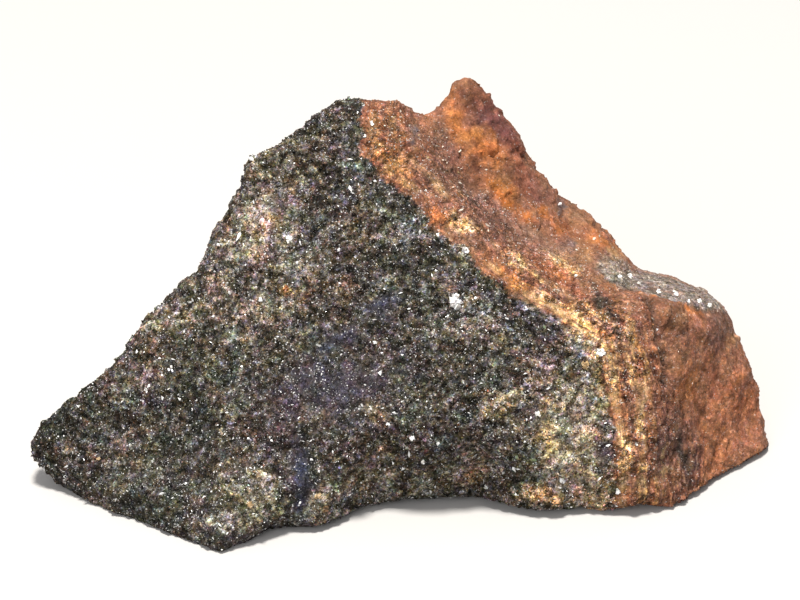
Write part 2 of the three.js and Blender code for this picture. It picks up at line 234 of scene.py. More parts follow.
# stains on the rusty rind: tone, middle, half widths, turn, strength
stains = [
    ("rust", (-2.5, 38.5), (4, 4), 0, 0.5), ("slate", (0.8, 38), (0.8, 1.1), 0, 0.85),
    ("ochre", (-3.5, 38), (0.5, 2.6), 6, 0.7), ("dusk", (0.2, 40.4), (1.8, 1.2), -20, 0.5),
    ("ochre", (-1.4, 34.2), (1.1, 2), 20, 0.6), ("orange", (-4, 34.4), (0.7, 1.4), 0, 0.6),
    ("dusk", (4.4, 36.6), (1.8, 3.4), 8, 0.7), ("umber", (1.4, 34.2), (1, 1.2), 0, 0.4),
    ("dusk", (3.2, 33.4), (2.6, 2), 0, 0.5), ("mauve", (6.4, 31), (2, 1.6), 0, 0.5),
    ("brick", (10.4, 39.4), (3, 5), 32, 0.95), ("umber", (7.2, 42.8), (1.9, 1.3), -20, 0.9),
    ("violet", (10.4, 39.6), (1.9, 3.4), 30, 0.9), ("orange", (5.9, 40.6), (1.3, 3), 8, 1.0),
    ("amber", (8.6, 37.2), (2.6, 1.7), -25, 1.0), ("umber", (8.2, 34.4), (1, 1.5), 10, 0.75),
    ("amber", (10.6, 35.2), (1.7, 1.2), -20, 0.9), ("brick", (13.4, 34), (1.8, 3.6), 40, 0.85),
    ("amber", (11.4, 31.8), (2.3, 0.9), -20, 0.9), ("flame", (12.6, 29.8), (4.4, 0.8), -38, 0.9),
    ("flame", (17, 28.4), (2.6, 0.6), -40, 0.7), ("slate", (8.1, 30.5), (1.2, 0.9), -20, 0.8),
    ("dusk", (10.6, 27.4), (6.2, 2.2), -36, 0.75), ("mauve", (16, 25.4), (4.2, 1.4), -30, 0.7),
    ("slate", (18.2, 29.9), (0.6, 0.6), 0, 0.8), ("tawny", (21, 28), (2.6, 1.5), -30, 0.7),
    ("amber", (23.4, 25.8), (2.4, 1.2), -48, 0.95), ("straw", (25.2, 23.4), (0.8, 1.4), 30, 0.6),
    ("brick", (19.6, 27.2), (2.6, 0.8), -35, 0.5), ("tawny", (20.6, 24), (2.4, 1.2), -20, 0.6),
    ("slate", (19.4, 24.8), (1.1, 0.9), -40, 0.7), ("straw", (6.2, 27.7), (2.3, 0.8), -24, 0.95),
    ("amber", (3.6, 28.6), (1.6, 0.9), -30, 0.7), ("straw", (13.4, 22.7), (1.7, 1), -44, 0.95),
    ("straw", (18.4, 22.7), (1.9, 0.95), -30, 0.75), ("straw", (15.8, 18.6), (3.2, 0.9), -28, 0.95),
    ("straw", (20.4, 16.4), (2, 1), -30, 0.95), ("amber", (12.6, 20.6), (2, 0.7), -40, 0.9),
    ("straw", (24, 10.6), (0.6, 4), 8, 0.85), ("straw", (27.3, 7), (0.4, 4.5), 0, 0.9),
    ("straw", (25.8, 14.6), (0.5, 3), 6, 0.7), ("brick", (14.6, 20.8), (2.4, 0.5), -40, 0.7),
    ("brick", (19, 20.4), (2.2, 0.6), -38, 0.7), ("coal", (22.8, 18.6), (1.2, 2.3), 24, 0.95),
    ("coal", (24.1, 15.6), (0.7, 1.6), 20, 0.8), ("clay", (38, 5), (5.5, 8), 10, 0.9),
    ("olive", (30.8, 16.8), (1.3, 1.9), -30, 0.65), ("flame", (32.6, 18), (2, 0.7), -20, 0.95),
    ("orange", (28.2, 19.2), (0.8, 0.6), 0, 0.7), ("plum", (36.6, 15.4), (1.8, 2.7), 0, 0.85),
    ("tawny", (33, 11.4), (1.9, 2.1), 0, 0.6), ("orange", (32.4, 9), (1.7, 3), 0, 0.65),
    ("orange", (39, 7.4), (2.2, 3), 0, 0.35), ("brick", (36, 9.6), (1.4, 2.2), 20, 0.5),
    ("tawny", (38.6, 13.8), (1.1, 1.5), -20, 0.8), ("orange", (36.6, 1.4), (2, 2.6), 0, 0.4),
    ("plum", (31.2, 1.4), (2.8, 5.6), 16, 0.9), ("coal", (32.4, 0.8), (0.7, 3.2), 16, 0.8),
    ("coal", (27.6, 3.4), (0.5, 1), 0, 0.5), ("straw", (30.2, -0.6), (0.3, 2), -12, 0.8),
    ("ochre", (27.2, -0.4), (0.3, 2.6), -4, 0.7), ("straw", (25.2, 0), (0.8, 4.4), 0, 0.9),
    ("umber", (37.4, -3), (2.4, 0.8), 20, 0.5),
]

# single large crystals and their clusters: middle (across, up), half width, how many, tone; the white ones
# are partly painted glints
crystals = [
    ((5.6, 18.5), 0.34, 9, "white"), ((7.1, 24.2), 0.13, 5, "white"), ((-13.3, 25.6), 0.14, 8, "white"),
    ((-7.6, 24.4), 0.1, 6, "white"), ((-3.7, 38.9), 0.15, 2, "white"), ((-4.6, 37.4), 0.12, 2, "white"),
    ((-26.9, 10.7), 0.17, 4, "white"), ((19.8, 21.4), 0.12, 2, "white"), ((26.5, 2.1), 0.11, 3, "white"),
    ((25, 21.4), 0.1, 8, "white"), ((-1.9, 4.5), 0.13, 2, "white"), ((0.9, 2.8), 0.16, 3, "white"),
    ((2, 0), 0.15, 2, "white"), ((24.5, -3.4), 0.17, 3, "white"), ((-35.5, 0.3), 0.14, 2, "cream"),
    ((-17.6, -4.6), 0.15, 7, "cream"), ((-10, -3.8), 0.15, 6, "cream"), ((18.1, -2.2), 0.17, 3, "white"),
    ((6.8, 24.4), 0.17, 3, "white"), ((-16.2, 27), 0.15, 4, "cream"), ((20.6, 11.2), 0.2, 5, "cream"),
    ((22.4, 12.6), 0.22, 5, "white"), ((15.2, 5.6), 0.16, 4, "white"), ((-13.6, 19.9), 0.2, 2, "amber"),
    ((9.4, -3.1), 0.12, 3, "white"), ((-5.1, -3.1), 0.13, 2, "cream"), ((28.9, 15.2), 0.08, 5, "white"),
    ((18.2, 29.9), 0.12, 2, "white"), ((10.2, 28.8), 0.08, 2, "white"), ((2.4, 31.2), 0.09, 4, "white"),
    ((12.8, 23.6), 0.12, 4, "straw"), ((-29.8, 8.2), 0.13, 3, "white"), ((14.2, 22), 0.1, 5, "straw"),
    ((33, 18.4), 0.1, 8, "white"), ((35.6, 18), 0.11, 8, "white"), ((29.6, 19.6), 0.1, 9, "white"),
    ((-1.2, 39.6), 0.08, 5, "cream"), ((-2.6, 36.2), 0.08, 5, "straw"), ((-0.6, 37), 0.07, 5, "cream"),
    ((1.6, 37.6), 0.07, 4, "cream"), ((2.6, 35), 0.08, 5, "straw"), ((6.2, 33.4), 0.07, 4, "cream"),
    ((31.6, 19.4), 0.11, 9, "white"), ((26.4, 21.4), 0.11, 9, "white"), ((34.4, 18.5), 0.1, 8, "white"),
    ((6.4, 27.6), 0.09, 6, "straw"), ((18.8, 22.6), 0.1, 6, "straw"), ((27.4, 20.6), 0.09, 6, "white"),
]

# how the borders between the kinds wander and blur; a wave is height, width in mm, layers, salt
borders = {
    "waves": [(4.0, 3, 60), (1.2, 2, 64), (0.55, 1, 56)],    # without height
    "spotDrift": (0.9, 0.8, 0.3),    # mm, how far each of these carries a mark
    "lineDrift": (0.35, 0.2),        # mm, the same for the rind's lines
    "ledgeDrift": (0.25, 0.2),
    "eatenEdge": [(0.9, 2.2, 3, 70), (0.5, 0.7, 1, 71)],
    "eatenEnd": [(0.3, 1.3, 1, 72)],
    "edgeBlur": (-0.18, 0.18),       # mm, where one kind starts and where it is complete
    "endBlur": (-0.25, 0.25),
    "crackHalf": 0.3,                # mm, half width
    "paleWave": [(0.25, 2.2, 2, 75)],
    "streak": 0.12,                  # how quickly the rind's streaks change along, against across
    "streakWave": [(0.15, 2, 2, 58)],
}

# where each stretch of the rind starts and where it is complete, in mm
bands = {
    "ledgeAcross": (22, 24.5), "ledgeFront": (-0.2, 0.3), "ledgeBack": (2.4, 3.6),
    "upper": (15, 24), "smooth": (4.5, 7.5), "footUp": (17, 14), "footDeep": (5.5, 4),
    "crackBack": (2, -2), "wholeLayers": (14, 24),
}

# patches in which a kind is whole: width in mm, layers and salt, the noise where it starts
# and where it is whole, and what is left between the patches
gaps = {
    "ledge": ((1.8, 2, 78), (0.5, 0.1), 0.5), "layers": ((3.5, 2, 76), (-0.3, 0.35), 0.35),
    "foot": ((1.6, 2, 77), (-0.3, 0.2), 0), "stains": ((0.9, 2, 98), (-0.35, 0.1), 0.5),
}


def onFace(points):
    # the (across, up) place on the front face straight in front of each point
    up = points[:, 2] * math.cos(faceLean) + points[:, 1] * math.sin(faceLean)
    return np.stack([points[:, 0], up], axis=1)


def besideLine(places, line):
    # distance from a line of points, positive on its right going along it
    best = np.full(len(places), farAway)
    side = np.ones(len(places))
    for start, end in zip(line[:-1], line[1:]):
        a = np.array(start, float)
        run = np.array(end, float) - a
        away = places - a
        t = np.clip(away @ run / (run @ run), 0, 1)
        distance = np.linalg.norm(away - t[:, None] * run, axis=1)
        turn = np.sign(run[1] * away[:, 0] - run[0] * away[:, 1])
        closer = distance < best
        side = np.where(closer, turn, side)
        best = np.where(closer, distance, best)
    return best * side


def patch(places, middle, half, turn, edge=1.3):
    # 1 in the middle of an oval, falling to 0 past its rim; a higher edge makes the rim sharper
    c, s = math.cos(math.radians(turn)), math.sin(math.radians(turn))
    x, y = places[:, 0] - middle[0], places[:, 1] - middle[1]
    r = ((c * x + s * y) / half[0]) ** 2 + ((c * y - s * x) / half[1]) ** 2
    return np.exp(-r ** edge)


def patches(places, spots):
    total = np.zeros(len(places))
    for middle, half, turn, strength in spots:
        total = np.maximum(total, strength * patch(places, middle, half, turn))
    return total


def carried(points, waves, distances):
    # the face places of points that a few waves have pushed about, each by its distance in mm
    for wave, distance in zip(waves, distances):
        points = points + distance * wave
    return onFace(points)


def patchy(points, noise, where, least):
    return least + (1 - least) * ease(*where, layeredNoise(points, *noise))


def rockKinds(points):
    # how much of each kind of rock there is at each point
    waves = [threeWay(points, *wave) for wave in borders["waves"]]
    places = carried(points, waves, borders["spotDrift"])
    steady = carried(points, waves, borders["lineDrift"])
    past = -besideLine(steady, rind["edge"])
    pastEnd = -besideLine(steady, rind["end"])
    pastLedge = -besideLine(carried(points, waves, borders["ledgeDrift"]), rind["ledge"])
    fromCrack = besideLine(steady, rind["crack"]) / borders["crackHalf"]
    rust = ease(*borders["edgeBlur"], past + summed(points, borders["eatenEdge"]))
    end = ease(*borders["endBlur"], pastEnd + summed(points, borders["eatenEnd"]))
    kinds = {name: patches(places, spots) for name, spots in marks.items()}
    kinds["pale"] = np.clip(kinds["pale"] + summed(points, borders["paleWave"]), 0, 1)
    kinds.update(places=places, past=past, rust=rust, end=end * rust)
    kinds["along"] = borders["streak"] * steady[:, 1] + summed(points, borders["streakWave"])
    kinds["seam"] = np.exp(-fromCrack ** 2) * ease(*bands["crackBack"], points[:, 1])
    across, up = places.T
    ledge = rust * patchy(points, *gaps["ledge"]) * ease(*bands["ledgeAcross"], across)
    ledge = ledge * ease(*bands["ledgeFront"], pastLedge) * (1 - ease(*bands["ledgeBack"], pastLedge))
    upper = ease(*bands["upper"], up)
    smooth = upper * ease(*bands["smooth"], past)
    layered = rust * (1 - end) * (1 - ledge) * (1 - 0.45 * upper) * (1 - 0.7 * smooth)
    kinds.update(ledge=ledge, smooth=smooth, layered=layered * patchy(points, *gaps["layers"]))
    foot = ease(*bands["footUp"], up) * ease(*bands["footDeep"], past) * (1 - end) * rust
    footGrain = 0.85 * foot * patchy(points, *gaps["foot"])
    kinds["granular"] = np.maximum(kinds["granular"] * rust, footGrain)
    return kinds


# the rock's colours

tones = {
    "dark": paint(82, 77, 69), "green": paint(73, 72, 61), "tip": paint(58, 55, 49),
    "purple": paint(72, 64, 68), "blue": paint(61, 59, 72), "pale": paint(172, 161, 145),
    "orange": paint(184, 114, 66), "brown": paint(150, 104, 80), "straw": paint(216, 180, 130),
    "plum": paint(126, 93, 81), "brick": paint(152, 93, 71), "grey": paint(150, 138, 128),
    "ochre": paint(190, 146, 92), "rust": paint(164, 108, 76), "slate": paint(116, 106, 106),
    "mauve": paint(146, 111, 93), "dusk": paint(122, 89, 76), "violet": paint(118, 75, 70),
    "flame": paint(192, 114, 56), "amber": paint(198, 126, 72), "tawny": paint(174, 130, 96),
    "coal": paint(66, 60, 55), "umber": paint(122, 78, 60), "olive": paint(132, 98, 70),
    # white, half again as bright as a white card shows, is the tone of the painted glints and of the white
    # flecks and crystals
    "cream": paint(206, 172, 126), "clay": paint(184, 123, 91), "white": 1.5 * paint(250, 248, 244),
}
tones["moss"] = tones["green"] * 1.1

# kinds laid over the plain dark rock, in order: kind, tone, how fully
covers = [("olive", "moss", 0.9), ("fine", "purple", 0.9), ("darkest", "tip", 1), ("pale", "pale", 0.95),
          ("cream", "cream", 0.9), ("bluish", "blue", 0.95)]
# broad mottling: tone, how fully, the noise where it starts and is complete, width in mm, salt
darkMottles = [("green", 1, (-0.1, 0.5), 5, 80)]
rustMottles = [("rust", 0.8, (-0.1, 0.6), 4, 81), ("plum", 0.6, (0.1, 0.6), 5, 82)]
# drifts of tint: width in mm, strength, salt
darkDrifts = [(5, 0.13, 100), (1.3, 0.28, 120)]
rustDrifts = [(3, 0.09, 140), (0.9, 0.1, 160)]
colouring = {
    "clumpWidth": 1.7, "clumpContrast": 0.75,    # mm, and how strong light and dark clumps are
    "rustClumps": (0.35, 0.4),                   # their contrast on the rind, and what granular places add
    "warmOrCool": (1, 0.45, 1.1),                # how far red, green and blue drift
    "breakWidth": 3.2, "breaks": (-0.2, 0.25),   # mm, and the noise that breaks a layer
    # waves: height in mm or brightness, width in mm, layers, salt
    "layerSway": [(0.22, 6, 2, 84), (0.12, 1.3, 1, 85)],
    "endMottle": [(0.22, 2.2, 3, 88), (0.14, 0.7, 1, 89)],
    "layerRim": 3, "stainRim": 2.2,              # how sharp the rims of thin layers and of stains are
    "ledge": 0.9, "seam": 0.75,                  # how fully grey covers the ledge and dark the crack
    "rind": 0.95,                                # brightness
}


def blend(under, over, share):
    return under * (1 - share[:, None]) + over * share[:, None]


def mottled(colour, points, mottles):
    for tone, strength, (low, high), width, salt in mottles:
        colour = blend(colour, tones[tone], strength * ease(low, high, layeredNoise(points, width, 3, salt)))
    return colour


def tinted(colour, points, drifts):
    # the colour drifting from place to place, mostly between warm and cool
    for width, amount, salt in drifts:
        drift = threeWay(points, width, 2, salt, 5)
        colour = colour * np.exp(amount * drift * np.array(colouring["warmOrCool"]))
    return colour


def darkTone(points, kinds, clump):
    calm = (1 - 0.7 * kinds["fine"]) * (1 - 0.7 * kinds["bluish"]) * (1 - 0.4 * kinds["pale"])
    colour = mottled(np.tile(tones["dark"], (len(points), 1)), points, darkMottles)
    for kind, tone, strength in covers:
        colour = blend(colour, tones[tone], strength * kinds[kind])
    colour = colour * np.exp(colouring["clumpContrast"] * clump * calm)[:, None]
    return tinted(colour, points, darkDrifts)


def rindTone(points, kinds, clump):
    colour = mottled(np.tile(tones["brown"], (len(points), 1)), points, rustMottles)
    deep = kinds["past"] + summed(points, colouring["layerSway"])
    whole = 0.6 * ease(*bands["wholeLayers"], points[:, 0])
    for number, (distance, half, tone, strength) in enumerate(rind["layers"]):
        share = np.exp(-np.abs((deep - distance) / half) ** colouring["layerRim"])
        breaks = layeredNoise(points, colouring["breakWidth"], 2, 90 + number) + whole
        broken = ease(*colouring["breaks"], breaks)
        colour = blend(colour, tones[tone], strength * share * broken * kinds["layered"])
    broken = patchy(points, *gaps["stains"])
    for tone, middle, half, turn, strength in stains:
        stain = patch(kinds["places"], middle, half, turn, colouring["stainRim"])
        colour = blend(colour, tones[tone], strength * broken * stain)
    colour = blend(colour, tones["grey"], kinds["ledge"] * colouring["ledge"])
    colour = blend(colour, tones["coal"], kinds["seam"] * colouring["seam"])
    colour = colour * np.exp(kinds["end"] * summed(points, colouring["endMottle"]))[:, None]
    plain, added = colouring["rustClumps"]
    colour = colour * np.exp((plain + added * kinds["granular"]) * clump)[:, None]
    return tinted(colour, points, rustDrifts) * colouring["rind"]


def groundTone(points, kinds):
    # the rock's colour, without its finest speckle
    clump = layeredNoise(points, colouring["clumpWidth"], 2, 83)
    return blend(darkTone(points, kinds, clump), rindTone(points, kinds, clump), kinds["rust"])


print("rock laid out")


# the stone itself

stone = {
    "meshStep": 0.365,                  # mm between mesh points
    "facets": 0.15, "facetWidth": 3.6,  # slope of the broken facets, and their width in mm
    "chips": 0.3, "chipWidth": 1.3,     # slope and width of the small broken faces
    "grit": 0.1, "gritWidth": 0.8,      # mm, height and width, at the mesh's own scale
    "fuzz": [(0.05, 0.5, 1, 41)],       # height, width in mm, layers, salt
    "endSwell": [(0.35, 4, 3, 43)],
    "laminae": 0.3,                     # mm, small ledges where the rind splits
    "laminaePerMm": 0.72,
    "laminaeSway": [(0.4, 5, 2, 42)],
    "endStep": 0.25,                    # mm, the groove where the layers meet the end face
    "crackDepth": 0.8,                  # mm
    "pits": 60, "pitSizes": (0.4, 0.9), "pitDepth": 0.4,    # how many, radius in mm, depth to radius
    "pitSeed": 5,
    "evening": 5, "normalRounds": 3,    # rounds of smoothing before the roughness
    "paintedHollowShade": 1.3,                 # painted shade: how much darker hollows are than tips, per mm
    "hollowRange": (-0.35, 0.3),        # mm
    "footHeight": 0.12,                 # mm, what lies lower rests flat on the floor
    "calmFoot": (0.05, 0.8),            # mm above the floor, where up and down roughness starts and is full
    "lip": 1.3,                         # mm, how far the front stands out just above the floor
    "lipFacing": (-0.2, -0.6), "lipAcross": (-18, -12), "lipUp": (5.5, 1.5),
    "rimLift": 0.75,                    # mm, how far the rounded rim of the foot clears the floor
    "rimRounds": 8, "rimAcross": (-18, -11), "rimUp": (1.3, 0),
}


def evenMesh(source, step):
    piece = bpy.data.objects.new("weatheredRock", source.data.copy())
    bpy.context.scene.collection.objects.link(piece)
    remesh = piece.modifiers.new("even mesh", "REMESH")
    remesh.mode = "VOXEL"
    remesh.voxel_size = step * mm
    remesh.use_smooth_shade = True
    bpy.context.view_layer.update()
    made = bpy.data.meshes.new_from_object(piece.evaluated_get(bpy.context.evaluated_depsgraph_get()))
    piece.modifiers.clear()
    piece.data = made
    made.name = "weatheredRock"
    return piece


def readRows(items, name, width, kind=np.float32):
    flat = np.empty(len(items) * width, kind)
    items.foreach_get(name, flat)
    return flat.reshape(-1, width)


def readPoints(mesh):
    return readRows(mesh.vertices, "co", 3).astype(float) / mm


def writePoints(mesh, points):
    mesh.vertices.foreach_set("co", (points * mm).astype(np.float32).ravel())
    mesh.update()


def relaxed(values, edges, rounds, share=0.5):
    # each point's values drawn towards those of its neighbours
    a, b = edges.T
    count = np.maximum(np.bincount(edges.ravel(), minlength=len(values)), 1)[:, None]
    for _ in range(rounds):
        total = np.stack([np.bincount(a, column[b], len(values)) + np.bincount(b, column[a], len(values))
                          for column in values.T], axis=1)
        values = values + share * (total / count - values)
    return values


def broadRelief(points, kinds, bend, smooth):
    # facets, the rind's small ledges, the crack and the lumps
    _, _, number, lean = crackle(points + 0.5 * bend, stone["facetWidth"], 11)
    broad = stone["facets"] * (lean + 0.5 * (2 * number - 1)) * (1 - 0.5 * smooth)
    broad += kinds["end"] * summed(points, stone["endSwell"])
    sheet = kinds["past"] * stone["laminaePerMm"] + summed(points, stone["laminaeSway"])
    step = sheet - np.floor(sheet)
    broad += stone["laminae"] * kinds["layered"] * (step - 0.5) * ease(0, 0.12, 1 - step)
    broad -= stone["crackDepth"] * kinds["seam"]
    front = ease(3, -3, points[:, 1])
    for middle, half, turn, height in rind["lumps"]:
        broad += height * kinds["rust"] * patch(kinds["places"], middle, half, turn) * front
    return broad - stone["endStep"] * ease(0.5, -0.1, kinds["end"]) * ease(-0.1, 0.4, kinds["end"])


def smallRelief(points, bend, smooth):
    # chips and grit
    _, _, number, lean = crackle(points + 0.2 * bend, stone["chipWidth"], 21)
    near, far, _, _ = crackle(points, stone["gritWidth"], 31)
    small = stone["chips"] * (lean + 0.3 * (2 * number - 1)) * (1 - 0.8 * smooth)
    small += stone["grit"] * (ease(0, 0.35, far - near) - 0.6) * (1 - 0.6 * smooth)
    return small + summed(points, stone["fuzz"])


def relief(points, kinds):
    # how far each point stands out from the smooth stone in mm, and the small part of that
    smooth = 0.55 * kinds["fine"] + 0.6 * kinds["bluish"] + 0.5 * kinds["end"] + 0.4 * kinds["rust"]
    smooth = np.clip(smooth - 0.3 * kinds["granular"], 0, 0.85)
    bend = threeWay(points, 3, 2, 12)
    small = smallRelief(points, bend, smooth)
    return broadRelief(points, kinds, bend, smooth) + small, small


def digPits(points, high):
    draw = np.random.default_rng(stone["pitSeed"])
    middles = points[draw.integers(0, len(points), stone["pits"])]
    for middle, size in zip(middles, draw.uniform(*stone["pitSizes"], stone["pits"])):
        away = np.linalg.norm(points - middle, axis=1) / size
        high = high - stone["pitDepth"] * size * np.clip(1 - away * away, 0, 1)
    return high


def roundedFoot(points, foot, normals, edges):
    # the front edge rolls under: it stands out just above the floor, and the rim of the foot lifts off it
    lip = ease(*stone["lipFacing"], normals[:, 1]) * ease(*stone["lipAcross"], points[:, 0])
    points[:, 1] -= stone["lip"] * (lip * ease(*stone["lipUp"], points[:, 2]))
    rim = relaxed((~foot).astype(float)[:, None], edges, stone["rimRounds"])[:, 0]
    rim = rim * (0.35 + 0.65 * ease(*stone["rimAcross"], points[:, 0]))
    points[:, 2] += stone["rimLift"] * np.minimum(1.6 * rim, 1) * ease(*stone["rimUp"], points[:, 2])
    return points


def makeStone():
    piece = evenMesh(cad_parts["hornfels"], stone["meshStep"])
    mesh = piece.data
    edges = readRows(mesh.edges, "vertices", 2, np.int32)
    points = readPoints(mesh)
    foot = points[:, 2] < stone["footHeight"]
    even = relaxed(points, edges, stone["evening"])
    even[foot, 2] = 0
    writePoints(mesh, even)
    normals = readRows(mesh.vertex_normals, "vector", 3).astype(float)
    normals = relaxed(normals, edges, stone["normalRounds"])
    normals /= np.maximum(np.linalg.norm(normals, axis=1), 1e-6)[:, None]
    kinds = rockKinds(even)
    high, small = relief(even, kinds)
    move = normals * digPits(even, high)[:, None]
    move[:, 2] *= ease(*stone["calmFoot"], even[:, 2])
    rough = even + move
    rough[:, 2] = np.maximum(rough[:, 2], 0)
    rough[foot, 2] = 0
    writePoints(mesh, roundedFoot(rough, foot, normals, edges))
    # painted shade: the tone darkens in the hollows of the small relief and lightens on its tips
    shade = np.exp(stone["paintedHollowShade"] * np.clip(small, *stone["hollowRange"]))[:, None]
    saveColour(mesh, "tone", groundTone(even, kinds) * shade)
    for name, numbers in surfaceNumbers(kinds).items():
        saveNumber(mesh, name, numbers)
    return piece


def surfaceNumbers(kinds):
    # what the finishes read from the mesh: how grainy, specky and layered the rock is,
    # how far behind the rind's edge it lies and how far along its layers
    plain = 1 - kinds["ledge"]
    grainy = (1 - 0.35 * kinds["fine"] - 0.45 * kinds["bluish"]) * (1 - 0.3 * kinds["pale"])
    grainy = grainy * (1 - 0.25 * kinds["olive"])
    grainy = grainy * (1 - kinds["rust"] * (0.58 - 0.5 * kinds["granular"] - 0.1 * kinds["ledge"]))
    grainy = grainy * (1 - 0.15 * kinds["end"] * plain) * (1 - 0.5 * kinds["smooth"] * plain)
    specky = 1 - 0.3 * kinds["bluish"] - 0.3 * kinds["ledge"]
    specky = specky - kinds["rust"] * plain * (0.5 - 0.5 * kinds["granular"] - 0.2 * kinds["golden"])
    specky = specky * (1 - 0.3 * kinds["smooth"] * plain) * (1 - 0.2 * kinds["end"] * plain)
    return {"grainy": np.clip(grainy, 0.1, 1), "specky": np.clip(specky, 0, 1),
            "layered": kinds["layered"], "past": kinds["past"], "along": kinds["along"]}


def saveColour(mesh, name, colour):
    layer = mesh.attributes.new(name, "FLOAT_COLOR", "POINT")
    full = np.ones((len(colour), 4), np.float32)
    full[:, :3] = colour
    layer.data.foreach_set("color", full.ravel())


def saveNumber(mesh, name, numbers):
    layer = mesh.attributes.new(name, "FLOAT", "POINT")
    layer.data.foreach_set("value", np.asarray(numbers, np.float32))


weatheredRock = makeStone()
print("stone shaped:", len(weatheredRock.data.polygons), "faces")


# finishes

def fill(tree, node, inputs):
    # gives each input a number, a colour or another node's output
    for slot, value in inputs.items():
        if isinstance(value, bpy.types.NodeSocket):
            tree.links.new(value, node.inputs[slot])
        else:
            node.inputs[slot].default_value = value
    return node


def addNode(tree, kind, inputs, **settings):
    node = tree.nodes.new(kind)
    for name, value in settings.items():
        setattr(node, name, value)
    return fill(tree, node, inputs)


def newFinish(name):
    finish = bpy.data.materials.new(name)
    finish.use_nodes = True
    tree = finish.node_tree
    tree.nodes.clear()
    shader = addNode(tree, "ShaderNodeBsdfPrincipled", {})
    addNode(tree, "ShaderNodeOutputMaterial", {"Surface": shader.outputs["BSDF"]})
    return finish, tree, shader


def patternPlace(tree):
    return addNode(tree, "ShaderNodeTexCoord", {}).outputs["Object"]


def noisePattern(tree, place, width, detail):
    return addNode(tree, "ShaderNodeTexNoise", {
        "Vector": place, "Scale": 1 / (width * mm), "Detail": detail, "Roughness": speckle["noise"]})


def colourParts(tree, colour):
    return addNode(tree, "ShaderNodeSeparateColor", {"Color": colour}).outputs


def grainPattern(tree, place, width):
    texture = addNode(tree, "ShaderNodeTexVoronoi", {"Vector": place, "Scale": 1 / (width * mm)})
    return texture, colourParts(tree, texture.outputs["Color"])


def ramp(tree, value, stops):
    # stops: position and colour, or position and one number for a grey
    node = addNode(tree, "ShaderNodeValToRGB", {"Fac": value})
    made = node.color_ramp.elements
    while len(made) < len(stops):
        made.new(0.5)
    for stop, (position, colour) in zip(made, stops):
        stop.position = position
        stop.color = (*colour, 1) if isinstance(colour, tuple) else (colour, colour, colour, 1)
    return node.outputs["Color"]


def stretched(tree, value, fromRange, toRange):
    ends = dict(zip(("From Min", "From Max", "To Min", "To Max"), (*fromRange, *toRange)))
    return addNode(tree, "ShaderNodeMapRange", {"Value": value, **ends}).outputs["Result"]


def vectorMath(tree, operation, *parts):
    node = addNode(tree, "ShaderNodeVectorMath", dict(enumerate(parts)), operation=operation)
    return node.outputs["Value" if operation == "DOT_PRODUCT" else "Vector"]


def mixed(tree, share, first, second):
    # a colour going from the first to the second with the share
    node = addNode(tree, "ShaderNodeMix", {"Factor": share}, data_type="RGBA", clamp_result=False)
    slots = [number for number, slot in enumerate(node.inputs) if slot.type == "RGBA"]
    ends = [(*colour, 1) if isinstance(colour, tuple) else colour for colour in (first, second)]
    fill(tree, node, dict(zip(slots, ends)))
    return next(slot for slot in node.outputs if slot.type == "RGBA")


def meshValue(tree, name, output="Fac"):
    return addNode(tree, "ShaderNodeAttribute", {}, attribute_name=name).outputs[output]


speckle = {
    "clump": 0.85, "grain": 0.45, "dust": 0.3, "speck": 0.15, "glint": 0.12, "layer": 0.34,   # mm across
    "clumpShades": [(0.25, (0.25, 0.23, 0.17)), (0.42, (0.37, 0.35, 0.28)), (0.455, (0.48, 0.46, 0.4)),
                    (0.49, 0.94), (0.54, 1.08), (0.6, (1.36, 1.4, 1.43)), (0.67, (1.9, 2.0, 2.1)),
                    (0.8, (2.4, 2.6, 2.8))],
    "grainShades": [(0.0, (0.27, 0.26, 0.2)), (0.14, (0.33, 0.32, 0.26)), (0.2, 0.8), (0.6, 1.0),
                    (0.85, 1.25), (0.94, (1.85, 1.95, 2.05)), (1.0, (2.6, 2.8, 3.0))],
    "dustShades": [(0.25, 0.62), (0.42, 0.88), (0.5, 1.0), (0.6, 1.18), (0.75, 1.6)],
    "speckShades": [(0.0, (0.1, 0.09, 0.07)), (0.1, 0.36), (0.28, 0.9), (0.78, 1.12), (0.88, 1.7),
                    (1.0, 2.4)],
    "warmOrCool": [(0.34, (0.84, 0.95, 1.22)), (0.5, (1.0, 1.0, 1.0)), (0.66, (1.22, 1.0, 0.8))],
    "oliveOrViolet": [(0.34, (1.0, 1.04, 0.8)), (0.5, (1.0, 1.0, 1.0)), (0.66, (1.06, 0.93, 1.14))],
    "layerShades": [(0.34, (0.4, 0.34, 0.36)), (0.43, (0.74, 0.67, 0.7)), (0.5, (1.0, 0.96, 0.95)),
                    (0.57, (1.28, 1.24, 1.1)), (0.66, (1.8, 1.76, 1.4))],
    # painted highlights: tiny cells mixed towards white stand in for glints
    "glints": [(0.935, 0.0), (0.95, 0.7), (1.0, 1.0)],
    "paintedGlintClumps": [(0.4, 0.2), (0.6, 1.0)],      # fewer painted glints in dark clumps
    "paintedGlintTone": tuple(0.9 * tones["white"]),
    "noise": 0.6,                                 # how rough every noise is
}


